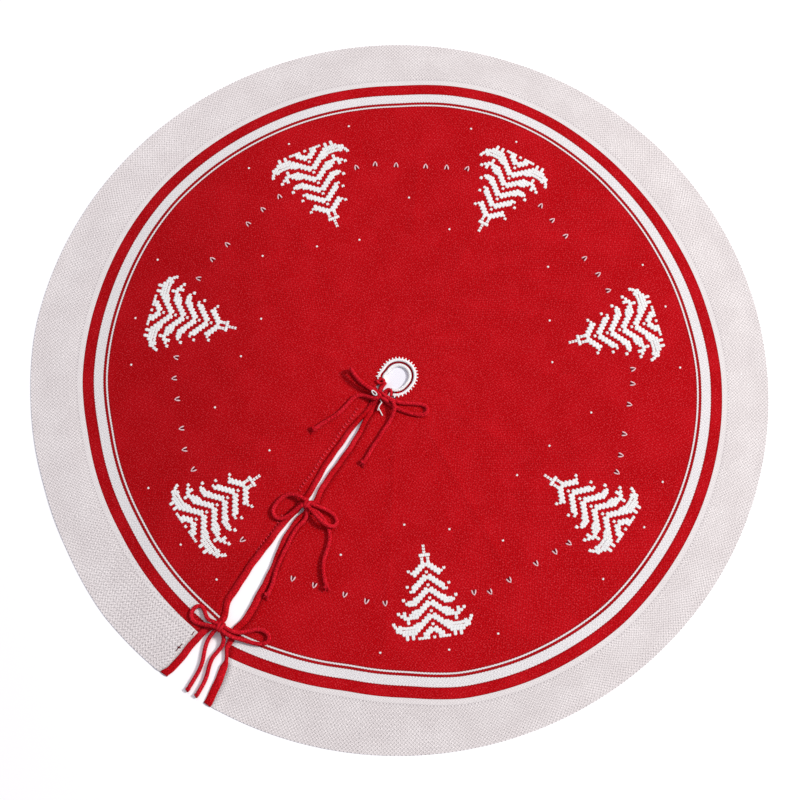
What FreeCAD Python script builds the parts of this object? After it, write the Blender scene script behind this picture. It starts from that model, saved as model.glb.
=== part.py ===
import FreeCAD, Part

# Round knitted tree skirt, lying flat on the floor. Millimetres, +Z up. The origin is the centre of the
# trunk hole at floor level, and the slit runs along -Y from the hole to the hem. An angle is measured from
# the slit (-Y), positive towards +X. A depth is a distance from the origin along -Y.

import os
from math import cos, pi, radians, sin, tan

Vec = FreeCAD.Vector

# Cloth.
SKIRT_R = 610.0
LINKING_R = 529.0
COLLAR_R = 34.0
HOLE_R = 16.0
CLOTH_T = 4.0
COLLAR_T = 5.0
BINDING_T = 5.0
BINDING_W = 11.5
GORES = 14

# The seams between gores: the first one beside the slit, their mean step, and the two slow waves that the
# slack of the cloth adds to their spacing, all in degrees.
SEAM_FIRST = -4.0
SEAM_STEP = 25.15
SEAM_WAVE = 7.0
SEAM_WAVE_2 = 1.7

# The front hem turns up about a straight fold across the slit. The two sides of the fold stand a hair apart.
FOLD_DEPTH = 447.0
FOLD_GAP = 0.5

# Cords and their knots.
CORD_D = 6.5
BEND_SHARE = 0.45  # how much of the shorter run beside a corner its bend takes up
KNOT_TOP = 19.0
KNOT_ROUNDING = 3.2
KNOT_GAP = 0.3  # between a bow's knot and the bindings under it
END_KNOT_R = 4.8
END_KNOT_PAST = 2.4  # how far past its tail's last point an end knot has its centre
END_KNOT_GAP = 0.1

# A block on one side of the fold reaches this far below the floor and is this tall.
BLOCK_BELOW = 20.0
BLOCK_H = 60.0

# The two lips of the slit, each as (depth, x): tied together at the bows, and slack between them.
LEFT_LIP = [
    (12, -9), (45, -8.5), (80, -7.5), (110, -9.5), (150, -9.5), (200, -8.3), (230, -5), (258, -3.7),
    (280, -5), (305, -9.5), (350, -11), (400, -12.5), (440, -10.5), (465, -7.5), (488, 1.5), (508, -8),
    (530, -14.5), (565, -17), (592, -20), (616, -30),
]
RIGHT_LIP = [
    (12, -2.5), (45, -4), (80, -4.5), (110, -2.7), (150, -0.7), (200, -0.8), (235, 0.8), (258, 4.5),
    (280, -0.5), (305, -2.8), (335, -1), (365, 7), (400, 13), (440, 18), (470, 20.5), (490, 17),
    (508, 21.5), (530, 31), (550, 36.5), (580, 42.5), (616, 48),
]

# Each bow: the centre of its knot, the knot's half-sizes, and the route of both ties as (x, y, z).
# A tie is sewn into the binding where its lead starts; its loop and its tail both leave the knot.
BOWS = {
    "bow_1": {
        "knot": (0, -45.8),
        "half": (8.0, 7.5),
        "left": {
            "lead": [(-11, -68, 3.5), (-6.5, -60, 8.6), (-2.8, -50.5, 9.5)],
            "loop": [
                (-4, -43.5, 9), (-14, -43, 9), (-26, -44.5, 8), (-39, -45.5, 7.5), (-51, -44, 7.4),
                (-60, -40.5, 7.4), (-66, -38, 7.5), (-69, -36.7, 10.9), (-69, -37, 15.7), (-66, -38.8, 19),
                (-58, -42.5, 19.2), (-46, -46, 18.5), (-32, -47.5, 17), (-17, -46.8, 15.8), (-4, -46, 15),
            ],
            "tail": [
                (-3, -50, 15.8), (-8, -56.5, 15.5), (-17, -58.8, 12.5), (-26.5, -60.5, 9), (-35, -65.5, 7.6),
                (-40, -74, 7.5), (-41, -86, 7.4), (-42.5, -99, 7.5), (-45.5, -113, 7.5), (-51.5, -126, 7.4),
                (-57, -139, 7.5), (-61.5, -151, 7.5),
            ],
        },
        "right": {
            "lead": [(3.5, -67, 3.5), (4, -60, 8.0), (3.4, -50.5, 9.2)],
            "loop": [
                (3, -42.2, 9.2), (13, -41.6, 9), (25, -39, 8.5), (37.5, -33, 7.8), (49.5, -25.5, 7.5),
                (60, -19.5, 7.5), (69, -18.5, 7.5), (75, -25, 7.6), (72, -33.5, 7.6), (63, -39, 7.5),
                (51.5, -43.5, 7.5), (39, -46.3, 7.6), (26, -49, 8.3), (13.5, -49.2, 8.9), (3, -48.4, 9.2),
            ],
            "tail": [
                (3, -44, 15), (12, -43, 15.8), (22, -45, 16), (28.5, -53, 14.6), (31.5, -64, 9.8),
                (33, -77, 7.5), (32.6, -93, 7.5), (34.2, -109, 7.4), (33.8, -125, 7.5), (35.6, -139, 7.5),
                (36, -151, 7.5),
            ],
        },
    },
    "bow_2": {
        "knot": (0, -262),
        "half": (7.5, 6.5),
        "left": {
            "lead": [(-11.5, -270, 3.5), (-9, -266.5, 7.9), (-3, -263.5, 9)],
            "loop": [
                (-1, -259, 15), (-12, -258.5, 15), (-24, -260.5, 11.5), (-35, -266, 8.4), (-40.5, -278, 7.5),
                (-42, -292, 7.5), (-39, -303.5, 7.6), (-29.5, -309, 8), (-19.5, -305, 8.8),
                (-13.5, -295, 9.3), (-10, -283, 10.8), (-6.5, -273, 13.8), (-2, -264, 15),
            ],
            "tail": [
                (1, -263, 9), (4.5, -270.5, 8.6), (11, -277.5, 8.5), (12, -288.5, 8.5), (8.7, -301, 8.5),
                (10, -317, 8.6), (12.8, -333, 8.5), (15, -350, 8.5), (18.5, -367, 8.6), (23.5, -384, 8.4),
                (30, -399, 7.8), (31.8, -414, 7.5),
            ],
        },
        "right": {
            "lead": [(13, -249, 3.5), (9, -252.5, 7.7), (2, -257.5, 8.8)],
            "loop": [
                (2, -259.5, 15), (12, -257.5, 15.2), (23, -254, 12.5), (35, -251.5, 9.4), (47.5, -252, 7.9),
                (57, -257.5, 8.2), (58.8, -267, 10.5), (51, -272.5, 14.8), (39.5, -273.3, 15.6),
                (26, -270.5, 15.6), (13, -267, 15.4), (2, -264, 15),
            ],
            "tail": [
                (3, -262.8, 9), (13, -262.4, 8.6), (25, -263.8, 8.2), (37, -267.5, 7.6), (49.5, -272.8, 7.5),
                (59, -282, 7.5), (66, -293.5, 7.5), (70, -306.5, 7.5), (73.5, -319.5, 7.4), (80, -331.5, 7.5),
                (89, -342.5, 7.5), (100, -352, 7.5),
            ],
        },
    },
    "bow_3": {
        "knot": (1, -500),
        "half": (8.0, 6.5),
        "left": {
            "lead": [(-3, -484, 3.5), (-2.5, -490, 7.9), (0, -498, 9)],
            "loop": [
                (-1.5, -497.4, 15.3), (-11, -499.2, 15.2), (-21, -501.3, 13), (-30, -497.5, 10.3),
                (-38, -491.5, 8.2), (-47.5, -488.5, 7.6), (-55, -493.5, 7.5), (-57, -503, 7.5),
                (-54, -512, 7.5), (-46, -517, 7.6), (-33.5, -515.5, 8), (-21.5, -511, 10.5),
                (-11, -506.3, 14.2), (-1.5, -503.6, 15.2),
            ],
            "tail": [
                (-1, -502, 9), (-3.3, -509, 8.4), (-4.6, -519, 6), (-3.8, -530.5, 4), (0.6, -543, 3.5),
                (7.4, -556, 3.5), (12, -570, 3.5), (14, -584, 3.5), (15.6, -598, 3.6),
            ],
        },
        "right": {
            "lead": [(28, -493.5, 3.5), (21, -496, 7.8), (12, -497.5, 8.5), (4, -498, 8.8)],
            "loop": [
                (4, -496.5, 15.4), (13, -496.2, 15.8), (23.5, -494.5, 15.2), (33, -488, 11.2),
                (41, -478, 7.9), (49, -468.5, 7.5), (59, -463.3, 7.5), (69.5, -464, 7.6), (76, -471.5, 7.6),
                (75, -481, 7.5), (66.5, -489.5, 7.5), (53.5, -495, 7.8), (39.5, -499, 10.5),
                (26.5, -502.8, 14), (14, -503.8, 15.8), (4, -502.5, 15.4),
            ],
            "tail": [
                (4, -503.2, 8.6), (11, -507, 7.8), (17.2, -513, 7), (20, -522.5, 4.8), (18.8, -534, 3.6),
                (17.6, -546, 3.5), (21.2, -559.5, 3.5), (27, -572.5, 3.5), (30.2, -586, 3.5),
                (31.2, -598, 3.6),
            ],
        },
    },
}

# Short stitches that tack the left binding to the border, each as (x, y, length, turn in degrees from -Y).
TACKS = [(-34.6, -562, 14, -5), (-34.8, -562, 5, 80), (-29.6, -532, 6, 0)]
TACK_W = 1.3
TACK_RISE = 0.9


def gore_angle(k):
    """The seam between gore k and gore k + 1, counted clockwise from the slit. The slack pulls them uneven."""
    share = k / GORES
    return SEAM_FIRST - (SEAM_STEP * k + SEAM_WAVE * sin(pi * share) + SEAM_WAVE_2 * sin(2 * pi * share))


def at(angle, radius):
    """The point on the floor at this angle from the slit and this radius."""
    return Vec(radius * sin(radians(angle)), -radius * cos(radians(angle)), 0)


def raised(edges, height):
    """The solid that a closed outline on the floor makes when it is raised."""
    return Part.Face(Part.Wire(edges)).extrude(Vec(0, 0, height))


def sector(start, end, inner, outer, height):
    """Part of a flat ring, between two angles."""
    middle = (start + end) / 2
    return raised([
        Part.makeLine(at(start, inner), at(start, outer)),
        Part.Arc(at(start, outer), at(middle, outer), at(end, outer)).toShape(),
        Part.makeLine(at(end, outer), at(end, inner)),
        Part.Arc(at(end, inner), at(middle, inner), at(start, inner)).toShape(),
    ], height)


def ring(inner, outer, height):
    return Part.makeCylinder(outer, height).cut(Part.makeCylinder(inner, height))


def lip(stations, shift):
    """A smooth line along one lip of the slit, moved sideways."""
    curve = Part.BSplineCurve()
    curve.interpolate([Vec(x + shift, -depth, 0) for depth, x in stations])
    return curve


def between(left, right, height):
    """The solid between two lines that run down the slit."""
    return raised([
        left.toShape(),
        Part.makeLine(left.EndPoint, right.EndPoint),
        right.toShape(),
        Part.makeLine(right.StartPoint, left.StartPoint),
    ], height)


def side_of_fold(front):
    """A block that holds everything on one side of the fold."""
    size = 2 * SKIRT_R
    edge = -FOLD_DEPTH - FOLD_GAP - size if front else -FOLD_DEPTH
    return Part.makeBox(2 * size, size, BLOCK_H, Vec(-size, edge, -BLOCK_BELOW))


def rounded(points):
    """A path of straight runs joined by tangent arcs, with the arcs' radii."""
    edges = []
    radii = []
    start = points[0]
    for before, corner, after in zip(points, points[1:], points[2:]):
        back = (before - corner).normalize()
        ahead = (after - corner).normalize()
        half_turn = (pi - back.getAngle(ahead)) / 2
        reach = BEND_SHARE * min(before.distanceToPoint(corner), after.distanceToPoint(corner))
        radius = reach / tan(half_turn)
        inward = (back + ahead).normalize()
        entry = corner + back * reach
        leave = corner + ahead * reach
        middle = corner + inward * (radius / cos(half_turn) - radius)
        edges.append(Part.LineSegment(start, entry).toShape())
        edges.append(Part.Arc(entry, middle, leave).toShape())
        radii.append(radius)
        start = leave
    edges.append(Part.LineSegment(start, points[-1]).toShape())
    return Part.Wire(edges), radii


def tube(name, route):
    """A cord's solid along its route."""
    points = [Vec(*point) for point in route]
    path, radii = rounded(points)
    section = Part.Wire([Part.makeCircle(CORD_D / 2, points[0], points[1] - points[0])])
    solid = path.makePipeShell([section], True, False)
    share = solid.Volume / (pi * CORD_D ** 2 / 4 * path.Length)
    print(f"{name}: {path.Length:.0f} mm, tightest {min(radii):.1f} mm, volume share {share:.3f}")
    return solid


def bow_knot(centre, half):
    """The wrapped middle of a bow, as one rounded block on top of the two bindings."""
    base = BINDING_T + KNOT_GAP
    corner = Vec(centre[0] - half[0], centre[1] - half[1], base)
    block = Part.makeBox(2 * half[0], 2 * half[1], KNOT_TOP - base, corner)
    return block.makeFillet(KNOT_ROUNDING, block.Edges)


def end_knot(tail, floor):
    """The overhand knot that finishes a tail, just past the route's last point."""
    last = Vec(*tail[-1])
    onward = (last - Vec(*tail[-2])).normalize()
    centre = last + onward * END_KNOT_PAST
    return Part.makeSphere(END_KNOT_R, Vec(centre.x, centre.y, floor + END_KNOT_R + END_KNOT_GAP))


def tie(name, routes, obstacles):
    """One tie's lead, loop and tail, each trimmed where it runs into a knot or the binding."""
    strands = []
    for stretch in ("lead", "loop", "tail"):
        strand = tube(f"{name} {stretch}", routes[stretch])
        for obstacle in obstacles + strands:
            strand = strand.cut(obstacle)
        strands.append(strand)
    return Part.makeCompound(strands)


def tack_stitches():
    stitches = []
    for x, y, length, turn in TACKS:
        stitch = Part.makeBox(TACK_W, length, TACK_RISE, Vec(-TACK_W / 2, -length / 2, 0))
        stitch.rotate(Vec(0, 0, 0), Vec(0, 0, 1), turn)
        stitch.translate(Vec(x, y, CLOTH_T))
        stitches.append(stitch)
    return stitches[0].fuse(stitches[1]).removeSplitter(), stitches[2]


def cloth_parts():
    """The gores, the border, the collar and the bindings, each cut at the slit and at the fold."""
    parts = {}
    left_lip = lip(LEFT_LIP, 0)
    right_lip = lip(RIGHT_LIP, 0)
    left_seam = lip(LEFT_LIP, -BINDING_W)
    right_seam = lip(RIGHT_LIP, BINDING_W)
    slit_and_bindings = between(left_seam, right_seam, 2 * CLOTH_T)
    back = side_of_fold(front=False)
    front = side_of_fold(front=True)

    fields = {}
    borders = {}
    for number in range(1, GORES + 1):
        start = 0 if number == 1 else gore_angle(number - 1)
        end = -360 if number == GORES else gore_angle(number)
        fields[number] = sector(start, end, COLLAR_R, LINKING_R, CLOTH_T)
        borders[number] = sector(start, end, LINKING_R, SKIRT_R, CLOTH_T)
    for number in (1, 2, GORES - 1, GORES):
        fields[number] = fields[number].cut(slit_and_bindings)
        borders[number] = borders[number].cut(slit_and_bindings)

    for number in range(1, GORES + 1):
        parts[f"gore_{number:02d}"] = fields[number].common(back)
    for number in range(3, GORES - 1):
        parts[f"border_{number:02d}"] = borders[number]
    for number in (2, GORES - 1):
        parts[f"border_{number:02d}"] = borders[number].common(back)
        parts[f"border_{number:02d}_front"] = borders[number].common(front)
    for number in (1, GORES):
        parts[f"border_{number:02d}"] = borders[number].common(front)
    left_field = fields[1].fuse(fields[2]).removeSplitter()
    right_field = fields[GORES].fuse(fields[GORES - 1]).removeSplitter()
    parts["front_field_left"] = left_field.common(front)
    parts["front_field_right"] = right_field.common(front)

    disc = ring(COLLAR_R, SKIRT_R, BINDING_T)
    left_binding = between(left_seam, left_lip, BINDING_T).common(disc)
    right_binding = between(right_lip, right_seam, BINDING_T).common(disc)
    parts["binding_left"] = left_binding.common(back)
    parts["binding_right"] = right_binding.common(back)
    parts["front_binding_left"] = left_binding.common(front)
    parts["front_binding_right"] = right_binding.common(front)
    parts["collar"] = ring(HOLE_R, COLLAR_R, COLLAR_T).cut(between(left_lip, right_lip, COLLAR_T))
    return parts


def bow_parts(name, bow, bindings, tail_floor):
    """One bow: its knot, both ties and the knots at the ends of their tails."""
    parts = {}
    knot = bow_knot(bow["knot"], bow["half"])
    parts[f"{name}_knot"] = knot
    taken = [knot]
    for side in ("left", "right"):
        routes = bow[side]
        finish = end_knot(routes["tail"], tail_floor)
        parts[f"{name}_{side}_end_knot"] = finish
        whole = tie(f"{name} {side}", routes, taken + [finish, bindings[side]])
        parts[f"{name}_{side}_tie"] = whole
        taken.append(whole)
    return parts


def main():
    os.makedirs("parts", exist_ok=True)
    parts = cloth_parts()
    for name, bow in BOWS.items():
        prefix = "front_binding_" if name == "bow_3" else "binding_"
        bindings = {side: parts[prefix + side] for side in ("left", "right")}
        tail_floor = 0 if name == "bow_3" else CLOTH_T
        parts.update(bow_parts(name, bow, bindings, tail_floor))
    parts["tack_stitches"] = Part.makeCompound(tack_stitches())
    for name, shape in parts.items():
        solids = shape.Solids
        whole = solids[0] if len(solids) == 1 else Part.makeCompound(solids)
        valid = all(solid.isValid() for solid in solids)
        print(f"{name}: {len(solids)} solid(s), {whole.Volume / 1000:.2f} cm3, valid {valid}")
        whole.exportStep(f"parts/{name}.step")
    seams = ", ".join(f"{gore_angle(k):.1f}" for k in range(GORES + 1))
    print(f"gore seams at {seams} degrees")


main()
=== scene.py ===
"""Round knitted tree skirt with a tied slit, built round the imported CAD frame. Metres, row frame."""
import math

import bmesh
import bpy
import numpy as np
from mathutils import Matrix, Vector
from mathutils.bvhtree import BVHTree


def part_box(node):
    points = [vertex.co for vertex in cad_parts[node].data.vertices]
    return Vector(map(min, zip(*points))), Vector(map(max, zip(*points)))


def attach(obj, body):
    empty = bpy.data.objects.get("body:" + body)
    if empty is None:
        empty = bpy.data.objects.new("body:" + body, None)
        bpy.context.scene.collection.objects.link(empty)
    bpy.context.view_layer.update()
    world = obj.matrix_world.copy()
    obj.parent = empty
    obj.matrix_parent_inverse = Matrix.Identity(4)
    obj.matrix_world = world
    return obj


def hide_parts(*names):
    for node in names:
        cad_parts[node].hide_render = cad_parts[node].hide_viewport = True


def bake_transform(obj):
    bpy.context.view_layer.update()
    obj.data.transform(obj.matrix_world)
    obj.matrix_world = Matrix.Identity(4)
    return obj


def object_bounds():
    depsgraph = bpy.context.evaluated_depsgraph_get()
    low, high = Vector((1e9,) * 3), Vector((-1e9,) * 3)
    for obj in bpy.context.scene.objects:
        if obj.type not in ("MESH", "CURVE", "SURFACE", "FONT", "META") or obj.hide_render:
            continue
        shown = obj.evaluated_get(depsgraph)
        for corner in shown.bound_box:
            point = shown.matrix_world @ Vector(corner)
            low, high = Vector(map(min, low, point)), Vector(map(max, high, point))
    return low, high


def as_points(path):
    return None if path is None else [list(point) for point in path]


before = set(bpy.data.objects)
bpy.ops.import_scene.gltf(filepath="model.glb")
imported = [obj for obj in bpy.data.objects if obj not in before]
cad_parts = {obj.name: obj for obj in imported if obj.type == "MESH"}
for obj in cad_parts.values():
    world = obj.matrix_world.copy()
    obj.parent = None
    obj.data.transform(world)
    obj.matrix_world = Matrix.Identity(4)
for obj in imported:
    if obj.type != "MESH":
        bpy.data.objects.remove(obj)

MM = 0.001
cad_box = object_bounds()

# Sizes that the CAD shares. The rest is read from the frame.
SKIRT_R = cad_box[1].x
LINKING_R = 0.529
CLOTH_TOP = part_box("gore_07")[1].z
GORES = 14
CORD_D = 0.0065

# The laid cloth.
CLOTH_THICK = 0.0032
CLOTH_STEP = 0.005
HEM_DROP = 0.0029  # how far its top comes down between the linking row and the hem
LOWEST_TOP = 0.0012
LOWEST = 0.0002  # no point of cloth or yarn lies lower
GORE_INNER_R = 0.028
SLIT_GORE_INNER_R = 0.0415  # the gores beside the slit start further out
SLIT_START_Y = -0.028  # from here outwards the bindings press on the cloth
TUCK = 0.002  # how far the cloth runs under a binding
LEFT_PAINTED_SHADE = {"red_knit": 0.15, "cream_knit": -0.06}  # painted shade: how much darker each knit is painted towards the skirt's left; the cream's is negative, so it is painted a little lighter there
RIGHTWARDS = (0.827, 0.562)
PLAIN_SWELL = 0.35  # share of the swells' height that is left in the border
# Grooves and rolls that run along a line: height and half-width.
SEAM_GROOVE = (-0.00012, 0.0022)
BINDING_GROOVE = (-0.0016, 0.0026)
BINDING_ROLL = (0.0009, 0.0045)
BINDING_ROLL_OUT = 0.008  # from the binding's seam to the roll

# Knit gauge: one stitch across and one row down.
STITCH_W = 0.0049  # in the trees and the red field
FIELD_ROW = 0.0034
BORDER_STITCH = 0.0056
BORDER_ROW = 0.0030
BORDER_MIDDLE_R = 0.57  # where the border's stitches have that width
BORDER_DOT_PITCH = (0.0064, 0.0068)
CORD_ROW = 0.0042
BINDING_ROW = 0.0042
BINDING_WALES = 3.0
COLLAR_ROW = 0.0036
SNOW_STITCH = (0.0031, 0.0024)

# The stripes of the red field, as distances from the centre before the cloth is pulled out of round.
THIN_WHITE = (0.4881, 0.4907)
WIDE_WHITE = (0.4954, 0.5106)
STRIPE_SCALLOP = 0.0014
PLAIN_BORDER_R = 0.5375  # the border is plain up to here
LINKING_DOTS = (0.5378, 0.5402)

# How far from the centre the red stripe's outer edge and the hem lie, by angle from the slit, positive
# towards +X.
STRIPE_EDGE = [
    (-176, 0.537), (-166, 0.539), (-155, 0.5345), (-146, 0.528), (-120, 0.526), (-95, 0.527),
    (-72, 0.5225), (-55, 0.5215), (-45, 0.517), (-25, 0.518), (-12, 0.523), (-3, 0.526), (3, 0.533),
    (12, 0.526),
    (25, 0.519), (36, 0.5235), (45, 0.534), (56, 0.538), (75, 0.541), (88, 0.538), (105, 0.5355),
    (125, 0.533), (135, 0.529), (150, 0.5265), (165, 0.529),
]
HEM_EDGE = [
    (-180, 0.608), (-120, 0.6085), (-90, 0.610), (-64, 0.6105), (-52, 0.606), (-38, 0.6025), (-27, 0.6045),
    (-16, 0.6105), (60, 0.611), (120, 0.6105), (160, 0.609),
]
PULL_INNER_R = 0.30

# Creases that run out from the centre: angle, start and end radius, height and half-width.
CREASES = [
    (31.5, 0.08, 0.50, 0.0006, 0.0050), (62.5, 0.08, 0.44, 0.0007, 0.0060), (91, 0.07, 0.30, 0.0008, 0.008),
    (118, 0.10, 0.34, 0.0006, 0.009), (-72, 0.05, 0.26, 0.0012, 0.009), (-151, 0.22, 0.47, 0.0008, 0.008),
    (-173, 0.10, 0.34, 0.0008, 0.008), (150, 0.12, 0.40, 0.0006, 0.010), (-112, 0.12, 0.42, 0.0006, 0.011),
    (14, 0.20, 0.44, 0.0004, 0.009), (-40, 0.12, 0.40, 0.0005, 0.010),
]
# Slow swells of the laid cloth: wavelength, direction in degrees, phase and height.
SWELLS = [
    (0.31, 25, 0.4, 0.0007), (0.23, 118, 1.9, 0.0005), (0.47, 70, 3.1, 0.0009), (0.15, 165, 0.9, 0.0003),
]

# Knitted trees: angle of the axis from the slit, tip and base radius, shift aside, lean, and how far each
# half is stretched sideways.
TREES = [
    (-19.0, 0.280, 0.428, -0.0013, -0.02, 1.01, 1.18), (-72.3, 0.28175, 0.4315, 0.0027, 0.06, 1.03, 1.03),
    (-124.3, 0.283, 0.438, 0.0013, 0.02, 1.075, 1.075), (-173.8, 0.288, 0.4465, -0.0009, -0.01, 0.975, 0.975),
    (136.5, 0.288, 0.443, -0.0014, 0.04, 1.0, 1.0), (89.2, 0.289, 0.449, -0.0015, 0.0, 0.97, 0.97),
    (41.8, 0.2845, 0.4355, 0.0005, -0.01, 0.97, 0.97),
]
TREE_ROWS = 36.5
TREE_MIDDLE_R = 0.36
# Gores between two trees: angle of the axis, and how far out its rows lie compared with the base of a tree.
PLAIN_GORES = [
    (-45.6, 0.430), (-98.3, 0.435), (-149.0, 0.442), (161.4, 0.440), (112.9, 0.446), (65.5, 0.446),
    (17.0, 0.436),
]
# Each tier of a tree: the row of its top, how many stitches its arm steps down, and how the arm ends.
TIERS = [
    (28, 4, [(5, 25), (6, 25.9)]),
    (23, 5, [(4.6, 20), (6, 18), (7, 20)]),
    (18, 5, [(5, 15), (6, 13), (6, 14), (7, 13), (7, 14), (7.8, 13.5), (8.8, 15)]),
    (13, 5, [(5, 10.4), (6, 8), (6, 9), (6, 10), (7, 8), (7, 9), (8, 8), (8, 7.4), (8, 6.2), (9, 8), (9, 9),
             (9, 10), (10, 9), (11, 10)]),
    (8, 5, [(5, 5.4), (6, 2), (6, 3), (6, 4), (6, 4.8), (7, 2), (7, 3), (7, 4.2), (7, 1), (7, 0.2),
            (8, 2), (8, 3), (8, 4.2), (9, 2), (9, 3), (9, 4.2), (9, 1), (9, 0.2), (10, 2), (10, 3),
            (10, 4.4), (11, 3), (11, 4), (11, 5), (12, 3.4), (12, 4.4), (12.6, 5.2), (13, 6.2)]),
    (3, 3, [(2, 0), (4, 0), (5, 0)]),
]
# V marks and single stitches beside a tree, across its axis and out from its base or tip.
MARK_OUT = -0.0655
TREE_MARKS = (-0.071, 0.071)
PLAIN_MARKS = (-0.0615, -0.0254, 0.0254, 0.0615)
BASE_DOTS = [(-0.088, 0.012), (0.020, 0.0205), (0.100, 0.005)]
TIP_DOTS = [(-0.0255, -0.0345), (0.0455, -0.0185)]
PLAIN_DOT_OUT = -0.123
SLIT_CLEAR = math.radians(5.6)  # marks nearer the slit than this are left out

# Ties, in millimetres as in the CAD: each runs lead, loop, tail, and its bow's knot wraps the middle.
BOWS = {
    "bow_1": {
        "body": "skirt",
        "knot": (0, -45.8),
        "wraps": [((-1.0, 2.6), 9.6, 84), ((3.4, -3.4), 8.4, 96)],
        "left": [
            (-11, -68, 3.5), (-6.5, -60, 8.6), (-2.8, -50.5, 9.5),
            (-4, -43.5, 9), (-14, -43, 9), (-26, -44.5, 8), (-39, -45.5, 7.5), (-51, -44, 7.4),
            (-60, -40.5, 7.4), (-66, -38, 7.5), (-69, -36.7, 10.9), (-69, -37, 15.7), (-66, -38.8, 19),
            (-58, -42.5, 19.2), (-46, -46, 18.5), (-32, -47.5, 17), (-17, -46.8, 15.8), (-4, -46, 15),
            (-3, -50, 15.8), (-8, -56.5, 15.5), (-17, -58.8, 12.5), (-26.5, -60.5, 9), (-35, -65.5, 7.6),
            (-40, -74, 7.5), (-41, -86, 7.4), (-42.5, -99, 7.5), (-45.5, -113, 7.5), (-51.5, -126, 7.4),
            (-57, -139, 7.5), (-61.5, -151, 7.5),
        ],
        "right": [
            (3.5, -67, 3.5), (4, -60, 8.0), (3.4, -50.5, 9.2),
            (3, -42.2, 9.2), (13, -41.6, 9), (25, -39, 8.5), (37.5, -33, 7.8), (49.5, -25.5, 7.5),
            (60, -19.5, 7.5), (69, -18.5, 7.5), (75, -25, 7.6), (72, -33.5, 7.6), (63, -39, 7.5),
            (51.5, -43.5, 7.5), (39, -46.3, 7.6), (26, -49, 8.3), (13.5, -49.2, 8.9), (3, -48.4, 9.2),
            (3, -44, 15), (12, -43, 15.8), (22, -45, 16), (28.5, -53, 14.6), (31.5, -64, 9.8),
            (33, -77, 7.5), (32.6, -93, 7.5), (34.2, -109, 7.4), (33.8, -125, 7.5), (35.6, -139, 7.5),
            (36, -151, 7.5),
        ],
    },
    "bow_2": {
        "body": "skirt",
        "knot": (0, -262),
        "wraps": [((-2.4, 0), 6.6, 10), ((2.6, -0.4), 6.2, -14)],
        "left": [
            (-11.5, -270, 3.5), (-9, -266.5, 7.9), (-3, -263.5, 9),
            (-1, -259, 15), (-12, -258.5, 15), (-24, -260.5, 11.5), (-35, -266, 8.4), (-40.5, -278, 7.5),
            (-42, -292, 7.5), (-39, -303.5, 7.6), (-29.5, -309, 8), (-19.5, -305, 8.8),
            (-13.5, -295, 9.3), (-10, -283, 10.8), (-6.5, -273, 13.8), (-2, -264, 15),
            (1, -263, 9), (4.5, -270.5, 8.6), (11, -277.5, 8.5), (12, -288.5, 8.5), (8.7, -301, 8.5),
            (10, -317, 8.6), (12.8, -333, 8.5), (15, -350, 8.5), (18.5, -367, 8.6), (23.5, -384, 8.4),
            (30, -399, 7.8), (31.8, -414, 7.5),
        ],
        "right": [
            (13, -249, 3.5), (9, -252.5, 7.7), (2, -257.5, 8.8),
            (2, -259.5, 15), (12, -257.5, 15.2), (23, -254, 12.5), (35, -251.5, 9.4), (47.5, -252, 7.9),
            (57, -257.5, 8.2), (58.8, -267, 10.5), (51, -272.5, 14.8), (39.5, -273.3, 15.6),
            (26, -270.5, 15.6), (13, -267, 15.4), (2, -264, 15),
            (3, -262.8, 9), (13, -262.4, 8.6), (25, -263.8, 8.2), (37, -267.5, 7.6), (49.5, -272.8, 7.5),
            (59, -282, 7.5), (66, -293.5, 7.5), (70, -306.5, 7.5), (73.5, -319.5, 7.4), (80, -331.5, 7.5),
            (89, -342.5, 7.5), (100, -352, 7.5),
        ],
    },
    "bow_3": {
        "body": "front_hem",
        "knot": (1, -500),
        "wraps": [((-2.6, 0), 6.4, 14), ((2.6, 0.3), 6.4, -6)],
        "left": [
            (-3, -484, 3.5), (-2.5, -490, 7.9), (0, -498, 9),
            (-1.5, -497.4, 15.3), (-11, -499.2, 15.2), (-20.5, -501.3, 13), (-28.5, -498.2, 10.3),
            (-35.5, -492.5, 8.2), (-43.5, -489.5, 7.6), (-50, -494, 7.5), (-51.5, -503, 7.5),
            (-49, -511.5, 7.5), (-42, -516, 7.6), (-31.5, -514.8, 8), (-21, -510.6, 10.5),
            (-11, -506.3, 14.2), (-1.5, -503.6, 15.2),
            (-1, -502, 9), (-3.3, -509, 8.4), (-4.6, -519, 6), (-3.8, -530.5, 4), (0.6, -543, 3.5),
            (7.4, -556, 3.5), (12, -570, 3.5), (13.6, -586, 3.5), (14.8, -604, 3.6),
        ],
        "right": [
            (28, -493.5, 3.5), (21, -496, 7.8), (12, -497.5, 8.5), (4, -498, 8.8),
            (4, -496.5, 15.4), (13, -496.2, 15.8), (23.5, -494.5, 15.2), (33, -489.3, 11.2),
            (41, -480.5, 7.9), (49, -471.2, 7.5), (59, -466, 7.5), (69.5, -466, 7.6), (76, -472.5, 7.6),
            (75, -480.5, 7.5), (66.5, -487.6, 7.5), (53.5, -492.9, 7.8), (39.5, -497.3, 10.5),
            (26.5, -502.2, 14), (14, -503.8, 15.8), (4, -502.5, 15.4),
            (4, -503.2, 8.6), (11, -507, 7.8), (17.2, -513, 7), (20, -522.5, 4.8), (18.8, -534, 3.6),
            (17.6, -546, 3.5), (21.2, -559.5, 3.5), (27, -572.5, 3.5), (30.4, -587, 3.5),
            (31.6, -603.5, 3.6),
        ],
    },
}


# The camera stands in front and to the right of the slit, well above the floor.
CAMERA_TARGET = (0.0248, -0.0321, 0)
CAMERA_DISTANCE = 2.46727
CAMERA_AZIMUTH = math.radians(34.2)
CAMERA_ELEVATION = math.radians(74.4586)
CAMERA_LENS = 67.43

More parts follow.
